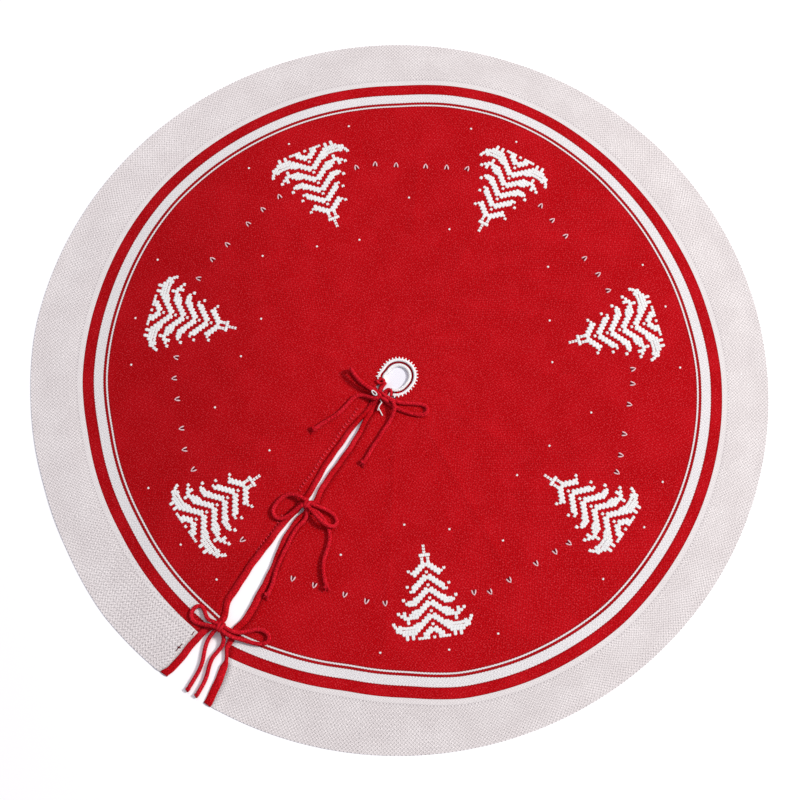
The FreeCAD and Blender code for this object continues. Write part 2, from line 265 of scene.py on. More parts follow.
# Lamps: name, place, size, power and colour.
LAMPS = [
    ("key", (3.82, 3.47, 4.75), 1.5, 455, (1.0, 0.975, 0.945)),
    ("fill", (-1.69, 2.48, 5.2), 3.0, 57, (1.0, 0.98, 0.97)),
]
SKY = (0.89, 0.885, 1.0, 1)
SKY_STRENGTH = 0.50
FLOOR_HALF = 15.0


# ---------------------------------------------------------------- meshes


def make_object(name, points, faces, materials, uv=None, face_material=None, painted_shade=None, sharp=False):
    """A mesh object from points in metres. It can have a UV and a painted shade for each point, and sharp
    edges.
    """
    mesh = bpy.data.meshes.new(name)
    mesh.from_pydata([tuple(p) for p in points], [], [tuple(int(i) for i in f) for f in faces])
    for material in materials:
        mesh.materials.append(material)
    if face_material is not None:
        mesh.polygons.foreach_set("material_index", np.asarray(face_material, np.int32))
    if uv is not None:
        loops = np.zeros(len(mesh.loops), np.int32)
        mesh.loops.foreach_get("vertex_index", loops)
        layer = mesh.uv_layers.new(name="knit")
        layer.data.foreach_set("uv", np.asarray(uv, np.float32)[loops].ravel())
    if painted_shade is not None:
        layer = mesh.attributes.new("painted_shade", "FLOAT", "POINT")
        layer.data.foreach_set("value", np.asarray(painted_shade, np.float32))
    mesh.shade_smooth()
    if sharp:
        mesh.set_sharp_from_angle(angle=math.radians(45))
    mesh.update()
    made = bpy.data.objects.new(name, mesh)
    bpy.context.scene.collection.objects.link(made)
    return made


def grid_faces(rows, columns, offset=0, close=False, flip=False):
    """Quads between the points of a grid that is stored row by row."""
    last = columns if close else columns - 1
    faces = []
    for i in range(rows - 1):
        for j in range(last):
            k = (j + 1) % columns
            quad = (
                offset + i * columns + j,
                offset + i * columns + k,
                offset + (i + 1) * columns + k,
                offset + (i + 1) * columns + j,
            )
            faces.append(quad[::-1] if flip else quad)
    return faces


def tube_faces(rings, sides):
    """Faces round a closed tube whose points are stored ring by ring, with both ends shut."""
    faces = grid_faces(rings, sides, close=True)
    faces.append(tuple(range(sides))[::-1])
    faces.append(tuple(range((rings - 1) * sides, rings * sides)))
    return faces


def joined(parts):
    """Several (points, faces) as one."""
    points = []
    faces = []
    for part_points, part_faces in parts:
        offset = len(points)
        points.extend(part_points)
        faces.extend(tuple(i + offset for i in face) for face in part_faces)
    return points, faces


def object_of(name, parts, material):
    """One object from several (points, faces)."""
    return make_object(name, *joined(parts), [material])


def fix_normals(piece):
    """Turns a closed piece's faces outwards."""
    work = bmesh.new()
    work.from_mesh(piece.data)
    bmesh.ops.recalc_face_normals(work, faces=work.faces)
    work.to_mesh(piece.data)
    work.free()


def slab(top, thick):
    """A closed sheet from a grid of top points: points, faces, and the grid point that each point is over."""
    rows, columns = top.shape[:2]
    upper = top.reshape(-1, 3)
    lower = upper.copy()
    lower[:, 2] = np.maximum(lower[:, 2] - thick, LOWEST)
    count = rows * columns
    faces = grid_faces(rows, columns) + grid_faces(rows, columns, count, flip=True)
    rim = list(range(columns))
    rim += [i * columns + columns - 1 for i in range(1, rows)]
    rim += [(rows - 1) * columns + j for j in range(columns - 2, -1, -1)]
    rim += [i * columns for i in range(rows - 2, 0, -1)]
    for a, b in zip(rim, rim[1:] + rim[:1]):
        faces.append((b, a, a + count, b + count))
    over = np.tile(np.arange(count), 2)
    return np.concatenate([upper, lower]), faces, over


def face_up(points, faces):
    """Turns every face over if the first one, which is on top, faces down."""
    a, b, c = (Vector(points[i]) for i in faces[0][:3])
    if (b - a).cross(c - a).z < 0:
        return [face[::-1] for face in faces]
    return faces


def spline_points(route, resolution):
    """Points along the NURBS spline whose control points are the route."""
    curve = bpy.data.curves.new("route", "CURVE")
    curve.dimensions = "3D"
    curve.resolution_u = resolution
    spline = curve.splines.new("NURBS")
    spline.points.add(len(route) - 1)
    for point, place in zip(spline.points, route):
        point.co = (*place, 1)
    spline.order_u = 3
    spline.use_endpoint_u = True
    holder = bpy.data.objects.new("route", curve)
    mesh = bpy.data.meshes.new_from_object(holder)
    points = [v.co.copy() for v in mesh.vertices]
    bpy.data.objects.remove(holder)
    bpy.data.curves.remove(curve)
    bpy.data.meshes.remove(mesh)
    return points


def closed_path(count, place):
    """place(turn) at equal steps round a full turn, whose last point is its first."""
    return [place(2 * math.pi * k / count) for k in range(count + 1)]


def smoothstep(low, high, value):
    """0 up to low and 1 from high on, with a smooth rise between them."""
    t = np.clip((value - low) / (high - low), 0, 1)
    return t * t * (3 - 2 * t)


def stitch_relief(column, row, slant=0.55):
    """Height from 0 to 1 of a knitted surface, whose legs lean together in each column."""
    across = np.abs(column % 1 - 0.5) * 2
    along = (row + slant * across) % 1
    return np.sqrt(np.sin(np.pi * along) * np.sin(np.pi * (0.12 + 0.76 * across)))


def tube_mesh(points, radius, sides, wales=0, row=CORD_ROW, relief=0.0, cap=0.6, taper=None):
    """A tube round the points, with knitted relief, rounded ends and a UV of (stitches, metres)."""
    points = [Vector(p) for p in points]
    along = np.concatenate([[0], np.cumsum([(b - a).length for a, b in zip(points, points[1:])])])
    forward = []
    for i in range(len(points)):
        step = points[min(i + 1, len(points) - 1)] - points[max(i - 1, 0)]
        forward.append(step.normalized())
    side = forward[0].orthogonal().normalized()
    reach = radius * cap
    first = (side.copy(), forward[0].cross(side))
    rings = []  # each ring's centre, frame, share of the radius and length along the tube
    for share, size in ((1.0, 0.02), (0.75, 0.62), (0.3, 0.92)):
        rings.append((points[0] - forward[0] * (reach * share), first, size, -reach * share))
    for i, point in enumerate(points):
        side = (side - forward[i] * side.dot(forward[i])).normalized()
        size = 1.0 if taper is None else taper(along[i] / along[-1])
        rings.append((point, (side.copy(), forward[i].cross(side)), size, along[i]))
    _, last, end, _ = rings[-1]
    for share, size in ((0.3, 0.92), (0.75, 0.62), (1.0, 0.02)):
        tip = points[-1] + forward[-1] * (reach * share)
        rings.append((tip, last, size * end, along[-1] + reach * share))
    turn = np.arange(sides) / sides * 2 * np.pi
    made = []
    uv = []
    for centre, (one, two), scale, length in rings:
        size = radius * scale * np.ones(sides)
        if wales:
            height = stitch_relief(turn / (2 * np.pi) * wales, np.full(sides, length / row))
            size = size * (1 + relief * (height - 0.7))
        for k in range(sides):
            place = centre + one * (math.cos(turn[k]) * size[k]) + two * (math.sin(turn[k]) * size[k])
            place.z = max(place.z, LOWEST)
            made.append(place)
            uv.append((k / sides * max(wales, 1), length))
    return made, tube_faces(len(rings), sides), uv


def petal_template(sides=6, rings=6):
    """One plump leg of a stitch, lying along Y from 0 to 1, 1 wide and 1 high."""
    points = [(0, 0, 0)]
    for i in range(1, rings):
        share = i / rings
        size = math.sin(math.pi * share) ** 0.6 / 2
        for k in range(sides):
            turn = 2 * math.pi * k / sides
            points.append((size * math.cos(turn), share, size * math.sin(turn)))
    points.append((0, 1, 0))
    faces = grid_faces(rings - 1, sides, 1, close=True, flip=True)
    faces += [(0, 1 + k, 1 + (k + 1) % sides) for k in range(sides)]
    tip = len(points) - 1
    ring = tip - sides
    faces += [(tip, ring + (k + 1) % sides, ring + k) for k in range(sides)]
    return np.array(points), faces


PETAL_POINTS, PETAL_FACES = petal_template()


def petals(legs):
    """Many legs as one mesh. Each leg is (start x, start y, end x, end y, width, height)."""
    points = []
    faces = []
    for x0, y0, x1, y1, width, height in legs:
        start = np.array([x0, y0])
        run = np.array([x1, y1]) - start
        length = np.hypot(*run)
        run = run / length
        side = np.array([run[1], -run[0]])
        place = start + PETAL_POINTS[:, [0]] * width * side + PETAL_POINTS[:, [1]] * length * run
        z = surface(place[:, 0], place[:, 1]) + PETAL_POINTS[:, 2] * height + 0.15 * height
        offset = len(points)
        points.extend(np.column_stack([place, z]))
        faces.extend(tuple(i + offset for i in face) for face in PETAL_FACES)
    return points, faces


def petal_piece(name, legs, material, crosses_fold=False):
    """Many legs as one piece."""
    piece = make_object(name, *petals(legs), [material])
    settle(piece, crosses_fold=crosses_fold)


# ---------------------------------------------------------------- the laid cloth


def gore_angle(k):
    """The seam between gore k and gore k + 1, as in the CAD, in degrees clockwise from the slit."""
    share = k / GORES
    return -4.0 - (25.15 * k + 7.0 * math.sin(math.pi * share) + 1.7 * math.sin(2 * math.pi * share))


SEAM_ANGLES = [gore_angle(k) for k in range(1, GORES)]


def edge_line(nodes, direction):
    """(y, x) along the side of some CAD nodes that a ray along X in this direction meets first."""
    trees = []
    for node in nodes:
        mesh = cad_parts[node].data
        corners = [v.co for v in mesh.vertices]
        trees.append(BVHTree.FromPolygons(corners, [p.vertices[:] for p in mesh.polygons]))
    found = []
    for y in np.arange(-0.606, -0.036, 0.004):
        for tree in trees:
            hit = tree.ray_cast(Vector((-direction, y, 0.0025)), Vector((direction, 0, 0)))[0]
            if hit is not None:
                found.append((y, hit.x))
                break
    found.sort()
    return np.array(found)


# The CAD nodes of the left (-1) and right (1) binding, and the lip of each.
BINDING_NODES = {
    -1: ("binding_left", "front_binding_left"),
    1: ("binding_right", "front_binding_right"),
}
LIPS = {side: edge_line(nodes, side) for side, nodes in BINDING_NODES.items()}

# How wide the left and right bindings show, how the right one curls just outside the third bow, and how far
# the two lips are pulled together below the first.
BINDING_WIDTH = {
    -1: [
        (-0.61, 0.0135), (-0.598, 0.0113), (-0.45, 0.0112), (-0.30, 0.0102), (-0.25, 0.0092),
        (-0.09, 0.0078), (-0.02, 0.0075),
    ],
    1: [
        (-0.61, 0.0126), (-0.548, 0.0122), (-0.536, 0.0068), (-0.52, 0.0078), (-0.503, 0.0112),
        (-0.30, 0.0102), (-0.25, 0.0092), (-0.09, 0.0078), (-0.02, 0.0075),
    ],
}
LIP_CURL = [(-0.548, 0), (-0.538, 0.0022), (-0.521, -0.0035), (-0.503, 0)]
LIP_PUSH = [(-0.118, 0), (-0.100, 0.0012), (-0.088, 0.0020), (-0.050, 0.0023), (-0.040, 0.0008), (-0.030, 0)]


def stations(pairs, value):
    """The value of a line given by (station, value) pairs."""
    return np.interp(value, [a for a, _ in pairs], [b for _, b in pairs])


def lip_x(side, y):
    """Where the left (-1) or right (1) lip of the slit runs."""
    curl = stations(LIP_CURL, y) if side > 0 else 0
    return stations(LIPS[side], y) - side * stations(LIP_PUSH, y) + curl


def seam_x(side, y):
    """Where the binding meets the cloth."""
    return lip_x(side, y) + side * stations(BINDING_WIDTH[side], y)


def ring_wander(pairs, angle, middle):
    """How far a ring is pulled out at this angle, in metres."""
    pairs = sorted(pairs)
    angles = [pairs[-1][0] - 360] + [a for a, _ in pairs] + [pairs[0][0] + 360]
    radii = [pairs[-1][1]] + [r for _, r in pairs] + [pairs[0][1]]
    fine = np.linspace(-200, 200, 801)
    curve = np.interp(fine, angles, radii) - middle
    kernel = np.hanning(13)
    curve = np.convolve(np.pad(curve, 6, "edge"), kernel / kernel.sum(), "valid")
    wrapped = (np.asarray(angle) + 180) % 360 - 180
    return np.interp(wrapped, fine, curve)


def pulled(angle, radius):
    """Where cloth of this knitted radius lies once the skirt is pulled out of round."""
    stripe = smoothstep(PULL_INNER_R, 0.49, radius) * (1 - smoothstep(0.54, 0.60, radius))
    hem = smoothstep(0.545, 0.605, radius)
    return (radius + stripe * ring_wander(STRIPE_EDGE, angle, LINKING_R)
            + hem * ring_wander(HEM_EDGE, angle, SKIRT_R))


def bell(gap, width):
    """1 where the gap is 0, falling away to both sides."""
    return np.exp(-((gap / width) ** 2))


def ridge(radius, angle, heading, width):
    """1 along a line out of the centre, falling away to both sides of it."""
    away = np.radians(angle - heading)
    return (np.cos(away) > 0) * bell(radius * np.sin(away), width)


def surface(x, y):
    """Height of the cloth's top."""
    x = np.asarray(x, float)
    y = np.asarray(y, float)
    radius = np.hypot(x, y)
    angle = np.degrees(np.arctan2(x, -y))
    z = np.zeros(x.shape)
    for wavelength, heading, phase, height in SWELLS:
        turn = math.radians(heading)
        z = z + height * np.sin(2 * np.pi * (x * math.cos(turn) + y * math.sin(turn)) / wavelength + phase)
    z = CLOTH_TOP + z * (1 - (1 - PLAIN_SWELL) * smoothstep(0.48, 0.60, radius))
    for heading, start, end, height, width in CREASES:
        window = smoothstep(start, start + 0.06, radius) * (1 - smoothstep(end - 0.10, end, radius))
        z = z + height * window * ridge(radius, angle, heading, width)
    for heading in SEAM_ANGLES:
        z = z + SEAM_GROOVE[0] * (radius < LINKING_R) * ridge(radius, angle, heading, SEAM_GROOVE[1])
    beside = y < SLIT_START_Y
    for side in (-1, 1):
        gap = side * (x - seam_x(side, y))
        z = z + beside * BINDING_GROOVE[0] * bell(gap, BINDING_GROOVE[1])
        z = z + beside * BINDING_ROLL[0] * bell(gap - BINDING_ROLL_OUT, BINDING_ROLL[1])
    return np.maximum(z - HEM_DROP * smoothstep(LINKING_R, SKIRT_R, radius), LOWEST_TOP)


def painted_cloth_shade(x, y, fade):
    """Painted shade, as a factor on the knit's colour: darker in the seams along the bindings and, by the
    fade, towards the skirt's left: darker there for a positive fade, lighter for a negative one.
    """
    left = -(RIGHTWARDS[0] * x + RIGHTWARDS[1] * y)
    # Painted shade towards the skirt's left; painted light for the cream, whose fade is negative.
    painted_shade = 1 - fade * smoothstep(0.08, 0.45, left)
    # Painted shade in the seam where each binding meets the cloth.
    for side in (-1, 1):
        gap = side * (x - seam_x(side, y))
        painted_shade = painted_shade * (1 - 0.45 * (y < SLIT_START_Y) * bell(gap, 0.0022))
    return painted_shade


def slit_angle(radius, side, tuck):
    """The angle at which a circle meets the seam beside the slit, with the cloth tucked under the binding."""
    x = np.zeros_like(radius)
    for _ in range(4):
        y = -np.sqrt(np.maximum(radius ** 2 - x ** 2, 1e-8))
        x = seam_x(side, y) - side * tuck
    return np.degrees(np.arctan2(x, -y))


def gore_grid(number, inner, outer, step):
    """Real (x, y, z) and knitted (u, v) of a gore's or border's grid, between two knitted radii."""
    middle_angle = (gore_angle(number - 1) + gore_angle(number)) / 2
    rings = int(round((outer - inner) / step)) + 1
    radius = np.linspace(inner, outer, rings)
    left = slit_angle(radius, -1, TUCK)
    right = slit_angle(radius, 1, TUCK) - 360
    start = 0 if number == 1 else gore_angle(number - 1)
    end = -360 if number == GORES else gore_angle(number)
    first = np.clip(np.full(rings, start, float), right, left)
    last = np.clip(np.full(rings, end, float), right, left)
    columns = int(round(outer * math.radians(abs(end - start)) / step)) + 1
    share = np.linspace(0, 1, columns)
    if number in (1, GORES):
        beside = np.append(share[1] * np.array([0, 0.28, 0.56]), share[1:])
        share = beside if number == 1 else 1 - beside[::-1]
        columns = len(share)
    angle = first[:, None] + (last - first)[:, None] * share[None, :]
    knitted = np.repeat(radius[:, None], columns, axis=1)
    real = pulled(angle, knitted)
    x = real * np.sin(np.radians(angle))
    y = -real * np.cos(np.radians(angle))
    top = np.stack([x, y, surface(x, y)], axis=-1)
    turned = np.radians(angle - middle_angle)
    uv = np.stack([knitted * np.sin(turned), knitted * np.cos(turned)], axis=-1)
    return top, uv.reshape(-1, 2), abs(start - end)


def cloth_panel(name, number, inner, outer, material, slot, nodes, crosses_fold):
    """One gore or border section as a laid sheet."""
    top, uv, spread = gore_grid(number, inner, outer, CLOTH_STEP)
    points, faces, over = slab(top, CLOTH_THICK)
    # The painted shade of each point of the panel.
    shade = painted_cloth_shade(points[:, 0], points[:, 1], LEFT_PAINTED_SHADE[slot])
    piece = make_object(name, points, face_up(points, faces), [material], uv[over], painted_shade=shade, sharp=True)
    settle(piece, nodes, crosses_fold)


def settle(piece, nodes=(), crosses_fold=False, body="skirt"):
    """Parents a piece to its body, or fixes its place in the world if it crosses the fold, and hides the CAD
    nodes it stands for.
    """
    if crosses_fold:
        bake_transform(piece)
    else:
        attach(piece, body)
    if nodes:
        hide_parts(*nodes)


# ---------------------------------------------------------------- materials


class Nodes:
    """A material's node tree, with short ways to add to it."""

    def __init__(self, name, roughness, sheen=0.0, specular=0.04, tint=(1, 1, 1, 1)):
        self.material = bpy.data.materials.new(name)
        self.material.use_nodes = True
        self.tree = self.material.node_tree
        self.shader = self.tree.nodes["Principled BSDF"]
        self.shader.inputs["Roughness"].default_value = roughness
        self.shader.inputs["Sheen Weight"].default_value = sheen
        self.shader.inputs["Sheen Roughness"].default_value = 0.5
        self.shader.inputs["Sheen Tint"].default_value = tint
        self.shader.inputs["Specular IOR Level"].default_value = specular

    def add(self, kind, **settings):
        node = self.tree.nodes.new(kind)
        for key, value in settings.items():
            setattr(node, key, value)
        return node

    def put(self, socket, value):
        if isinstance(value, (int, float, tuple)):
            socket.default_value = value
        else:
            self.tree.links.new(value, socket)

    def math(self, operation, *values):
        node = self.add("ShaderNodeMath", operation=operation)
        for socket, value in zip(node.inputs, values):
            self.put(socket, value)
        return node.outputs[0]

    def ramp(self, value, low, high, to_low=0.0, to_high=1.0):
        node = self.add("ShaderNodeMapRange", interpolation_type="SMOOTHSTEP")
        for socket, number in zip(node.inputs, (value, low, high, to_low, to_high)):
            self.put(socket, number)
        return node.outputs[0]

    def blend(self, factor, one, two, mode="MIX"):
        node = self.add("ShaderNodeMix", data_type="RGBA", blend_type=mode)
        self.put(node.inputs[0], factor)
        self.put(node.inputs[6], one)
        self.put(node.inputs[7], two)
        return node.outputs[2]

    def noise(self, vector, scale, detail=2.0, roughness=0.5):
        node = self.add("ShaderNodeTexNoise")
        self.put(node.inputs["Vector"], vector)
        self.put(node.inputs["Scale"], scale)
        self.put(node.inputs["Detail"], detail)
        self.put(node.inputs["Roughness"], roughness)
        return node.outputs["Fac"]

    def times(self, one, two):
        return self.math("MULTIPLY", one, two)

    def off_middle(self, value):
        """How far a value is from the middle between two whole numbers."""
        return self.math("ABSOLUTE", self.math("SUBTRACT", self.math("FRACT", value), 0.5))

    def length(self, vector):
        node = self.add("ShaderNodeVectorMath", operation="LENGTH")
        self.put(node.inputs[0], vector)
        return node.outputs[1]

    def split(self, vector):
        node = self.add("ShaderNodeSeparateXYZ")
        self.put(node.inputs[0], vector)
        return node.outputs

    def place(self):
        return self.add("ShaderNodeTexCoord").outputs["Object"]

    def uv(self):
        coordinates = self.add("ShaderNodeUVMap", uv_map="knit").outputs[0]
        u, v, _ = self.split(coordinates)
        return coordinates, u, v

    def knit(self, column, row):
        """Height from 0 to 1 of stitches, one to a unit each way."""
        across = self.times(self.off_middle(column), 2.0)
        along = self.math("FRACT", self.math("ADD", across, row))
        leg = self.math("SINE", self.times(along, math.pi))
        width = self.math("SINE", self.math("MULTIPLY_ADD", across, 0.76 * math.pi, 0.12 * math.pi))
        return self.math("POWER", self.math("MAXIMUM", self.times(leg, width), 0.0), 0.5)

    def bump(self, height, distance, strength):
        node = self.add("ShaderNodeBump")
        node.inputs["Strength"].default_value = strength
        node.inputs["Distance"].default_value = distance
        self.put(node.inputs["Height"], height)
        return node.outputs[0]

    def grey(self, value):
        node = self.add("ShaderNodeCombineXYZ")
        for socket in node.inputs:
            self.put(socket, value)
        return node.outputs[0]

    def finish(self, colour, normal):
        self.put(self.shader.inputs["Base Color"], colour)
        self.put(self.shader.inputs["Normal"], normal)
        return self.material

    def finish_knit(self, colour, relief, fibre, distance=0.0007, strength=0.7):
        """Ends a knitted material, whose stitches and fibres stand up a little."""
        height = self.math("MULTIPLY_ADD", fibre, 0.3, relief)
        return self.finish(colour, self.bump(height, distance, strength))


# Each knit's _DEEP colour is its painted shade between the legs of the stitches.
RED = (0.45, 0.0018, 0.0046, 1)
RED_LIGHT = (0.54, 0.0060, 0.012, 1)
RED_DEEP = (0.16, 0.0010, 0.0022, 1)
RED_FUZZ = (0.52, 0.0360, 0.0460, 1)
CORD_RED = (0.50, 0.0052, 0.0125, 1)
CORD_LIGHT = (0.74, 0.024, 0.044, 1)
CORD_DEEP = (0.15, 0.0012, 0.0030, 1)
CREAM = (0.70, 0.650, 0.635, 1)
CREAM_DEEP = (0.38, 0.345, 0.35, 1)
CREAM_LIGHT = (0.76, 0.72, 0.705, 1)
WHITE = (0.81, 0.81, 0.795, 1)
WHITE_DEEP = (0.56, 0.56, 0.545, 1)
PALE = (0.80, 0.56, 0.575, 1)
PALE_DEEP = (0.42, 0.26, 0.28, 1)
SEAM_RED = (0.62, 0.05, 0.07, 1)
COLLAR_WHITE = (0.93, 0.92, 0.915, 1)
STRIPE_WHITE = (0.745, 0.72, 0.715, 1)
STRIPE_DEEP = (0.56, 0.535, 0.53, 1)
FLOOR_WHITE = (0.95, 0.95, 0.955, 1)
FLOOR_PAINTED_SHADE = (0.78, 0.77, 0.82, 1)  # painted shade, a little darker where the hole and the slit show the floor
COLLAR_LINE = (0.24, 0.004, 0.010, 1)
WINE = (0.10, 0.004, 0.010, 1)


def knit_surface(nodes, uv, column, row, colours, lattice=None, mottle=0.9, contrast=0.34,
                 specks=0.0, fuzz=None, painted_shade_power=1.0):
    """Colour, relief and fibre of a knitted surface: painted shade darkens it between the legs, with uneven
    yarn.
    """
    deep, base, light = colours
    relief = nodes.knit(column, row)
    fibre = nodes.noise(uv, 430.0, 2.0, 0.6)
    patchy = nodes.noise(uv, 16.0)
    # The deep colour between the legs is painted shade.
    colour = nodes.blend(nodes.ramp(relief, 0.10, 0.75), deep, base)
    colour = nodes.blend(nodes.times(nodes.ramp(patchy, 0.35, 0.70), 0.35), colour, light)
    if specks:
        raised = nodes.times(nodes.ramp(fibre, 0.53, 0.66), specks)
        colour = nodes.blend(raised, colour, fuzz or light)
    shade = nodes.math("MULTIPLY_ADD", nodes.math("SUBTRACT", fibre, 0.5), 2 * mottle, 1.0)
    if lattice is not None:
        across, along = [nodes.math("COSINE", nodes.times(turn, 2 * math.pi)) for turn in lattice]
        shade = nodes.math("MULTIPLY_ADD", nodes.times(across, along), contrast, shade)
        # Painted shade from the cloth's points: towards the skirt's left and in the seams beside the
        # bindings.
        painted_shade = nodes.add("ShaderNodeAttribute", attribute_name="painted_shade").outputs["Fac"]
        shade = nodes.times(shade, nodes.math("POWER", painted_shade, painted_shade_power))
    return nodes.blend(1.0, colour, nodes.grey(shade), "MULTIPLY"), relief, fibre


def ring_band(nodes, radius, low, high, soft=0.0004):
    """1 between two radii, with soft edges."""
    return nodes.times(
        nodes.ramp(radius, low - soft, low + soft),
        nodes.ramp(radius, high - soft, high + soft, 1.0, 0.0),
    )


def field_material():
    """Red knit with the white and red stripes, laid out by the knitted distance from the centre."""
    nodes = Nodes("red_field_knit", 0.95, sheen=0.10, tint=RED_LIGHT)
    uv, u, v = nodes.uv()
    column = nodes.math("DIVIDE", u, STITCH_W)
    row = nodes.math("DIVIDE", v, FIELD_ROW)
    lattice = (column, nodes.times(row, 0.5))
    radius = nodes.math("MULTIPLY_ADD", nodes.off_middle(column), STRIPE_SCALLOP, nodes.length(uv))
    red, relief, fibre = knit_surface(
        nodes, uv, column, row, (RED_DEEP, RED, RED_LIGHT), lattice,
        mottle=0.30, contrast=0.22, specks=0.65, fuzz=RED_FUZZ,
    )
    # The white stripes take only a little of the painted shade.
    white, _, _ = knit_surface(
        nodes, uv, column, row, (STRIPE_DEEP, STRIPE_WHITE, STRIPE_WHITE), lattice,
        mottle=0.40, contrast=0.12, painted_shade_power=0.3,
    )
    bands = nodes.math("ADD", ring_band(nodes, radius, *THIN_WHITE), ring_band(nodes, radius, *WIDE_WHITE))
    edges = 0.0
    for low, high in (THIN_WHITE, WIDE_WHITE, (LINKING_R + 0.001, 1.0)):
        edges = nodes.math("MAXIMUM", edges, ring_band(nodes, radius, low - 0.0018, high + 0.0018, 0.0010))
    red = nodes.blend(nodes.times(edges, 0.55), red, RED_DEEP)
    return nodes.finish_knit(nodes.blend(bands, red, white), relief, fibre)


def dotted_rows(nodes):
    """1 in the small dark holes of the border left of the slit, which fade away from it."""
    place = nodes.place()
    x, y, _ = nodes.split(place)
    uneven = nodes.times(nodes.noise(place, 60.0), 0.25)
    rows = nodes.math("MULTIPLY_ADD", y, 1 / BORDER_DOT_PITCH[1], uneven)
    holes = nodes.math("MULTIPLY_ADD", x, 1 / BORDER_DOT_PITCH[0], uneven)
    spots = nodes.times(
        nodes.ramp(nodes.off_middle(rows), 0.08, 0.22, 1.0, 0.0),
        nodes.ramp(nodes.off_middle(holes), 0.10, 0.34, 1.0, 0.0),
    )
    return nodes.times(spots, nodes.ramp(x, -0.32, -0.06, 0.15, 0.75))


def border_material(name, dotted=False):
    """Cream knit: a plain band beside the red stripe, a dotted linking row, then a bird's-eye knit."""
    nodes = Nodes(name, 0.95, sheen=0.05)
    uv, u, v = nodes.uv()
    radius = nodes.length(uv)
    column = nodes.times(nodes.math("ARCTAN2", u, v), BORDER_MIDDLE_R / BORDER_STITCH)
    row = nodes.math("DIVIDE", radius, BORDER_ROW)
    lattice = (column, nodes.times(row, 0.5))
    colour, relief, fibre = knit_surface(
        nodes, uv, column, row, (CREAM_DEEP, CREAM, CREAM_LIGHT), lattice, mottle=0.50, contrast=0.24,
    )
    plain = nodes.ramp(radius, PLAIN_BORDER_R - 0.001, PLAIN_BORDER_R + 0.001, 1.0, 0.0)
    colour = nodes.blend(nodes.times(plain, 0.55), colour, CREAM_LIGHT)
    linking = nodes.times(
        ring_band(nodes, radius, *LINKING_DOTS, 0.0006),
        nodes.ramp(nodes.off_middle(column), 0.12, 0.32, 1.0, 0.0),
    )
    colour = nodes.blend(nodes.times(linking, 0.6), colour, CREAM_DEEP)
    if dotted:
        colour = nodes.blend(dotted_rows(nodes), colour, CREAM_DEEP)
    return nodes.finish_knit(colour, relief, fibre)


def yarn_material(name, colours):
    """Loose yarn: fibres along every surface, with slow changes of colour."""
    deep, base, light = colours
    nodes = Nodes(name, 0.95, sheen=0.06, tint=light)
    place = nodes.place()
    fibre = nodes.noise(place, 900.0, 3.0, 0.6)
    slow = nodes.noise(place, 60.0)
    colour = nodes.blend(nodes.ramp(fibre, 0.30, 0.62), deep, base)
    colour = nodes.blend(nodes.times(nodes.ramp(slow, 0.35, 0.7), 0.5), colour, light)
    return nodes.finish(colour, nodes.bump(fibre, 0.0004, 0.6))


def tube_knit_material(name, colours, row, mottle=1.3, specks=0.45):
    """Knitted cord or strip, whose UV holds (stitches across, metres along)."""
    nodes = Nodes(name, 0.92, sheen=0.08, tint=colours[2])
    uv, u, v = nodes.uv()
    stretched = nodes.add("ShaderNodeMapping")
    stretched.inputs["Scale"].default_value = (0.004, 1, 1)
    nodes.put(stretched.inputs["Vector"], uv)
    colour, relief, fibre = knit_surface(
        nodes, stretched.outputs[0], u, nodes.math("DIVIDE", v, row), colours, mottle=mottle, specks=specks,
    )
    return nodes.finish_knit(colour, relief, fibre, 0.0006, 0.8)


# ---------------------------------------------------------------- cords and knots


def cord_tube(name, route, material):
    """A knitted cord along a route in millimetres. Returns the piece and its centreline."""
    points = spline_points([tuple(c * MM for c in place) for place in route], 14)
    made, faces, uv = tube_mesh(points, CORD_D / 2, 30, wales=5, relief=0.20)
    return make_object(name, made, faces, [material], uv), points


def end_knot(name, tail, floor, loose, material):
    """An overhand knot just past a tail's last point: tight, or loose with two short yarn ends."""
    size = (1.0 if loose else 0.8) * MM
    last = Vector(tail[-1]) * MM
    onward = last - Vector(tail[-2]) * MM
    onward.z = 0
    onward.normalize()
    aside = Vector((-onward.y, onward.x, 0))
    up = Vector((0, 0, 1))
    centre = last + onward * (2.6 * MM)
    centre.z = floor + (4.9 if loose else 3.7) * MM

    def trefoil(t):
        along = 1.15 * (math.sin(t) + 2 * math.sin(2 * t))
        across = 1.15 * (math.cos(t) - 2 * math.cos(2 * t))
        return centre + (onward * along + aside * across - up * (1.5 * math.sin(3 * t))) * size

    path = closed_path(72, trefoil)
    parts = [tube_mesh(path, 1.9 * size, 12, wales=4, row=0.003, relief=0.1, cap=0.2)[:2]]
    for turn, reach in ((0.62, 8.6), (-0.5, 7.4)) if loose else ():
        heading = onward * math.cos(turn) + aside * math.sin(turn)
        root = centre + heading * (2.4 * MM)
        tip = centre + heading * (reach * MM)
        tip.z = floor + 2.4 * MM
        middle = (root + tip) / 2 + up * (0.8 * MM)
        line = spline_points([root, middle, tip], 8)
        parts.append(tube_mesh(line, 1.45 * MM, 8, cap=0.5, taper=lambda s: 1 - 0.35 * s)[:2])
    return object_of(name, parts, material)


def bow_knot(name, centre, wraps, material):
    """The turns of cord that hold a bow's middle together."""
    parts = []
    for (shift_x, shift_y), reach, tilt in wraps:
        lean = math.radians(tilt)

        def turn(t):
            along = reach * math.cos(t)
            x = centre[0] + shift_x - along * math.sin(lean)
            y = centre[1] + shift_y + along * math.cos(lean)
            return Vector((x, y, 12.3 + 4.6 * math.sin(t))) * MM

        parts.append(tube_mesh(closed_path(48, turn), 2.7 * MM, 20, wales=5, relief=0.12, cap=0.2)[:2])
    return object_of(name, parts, material)


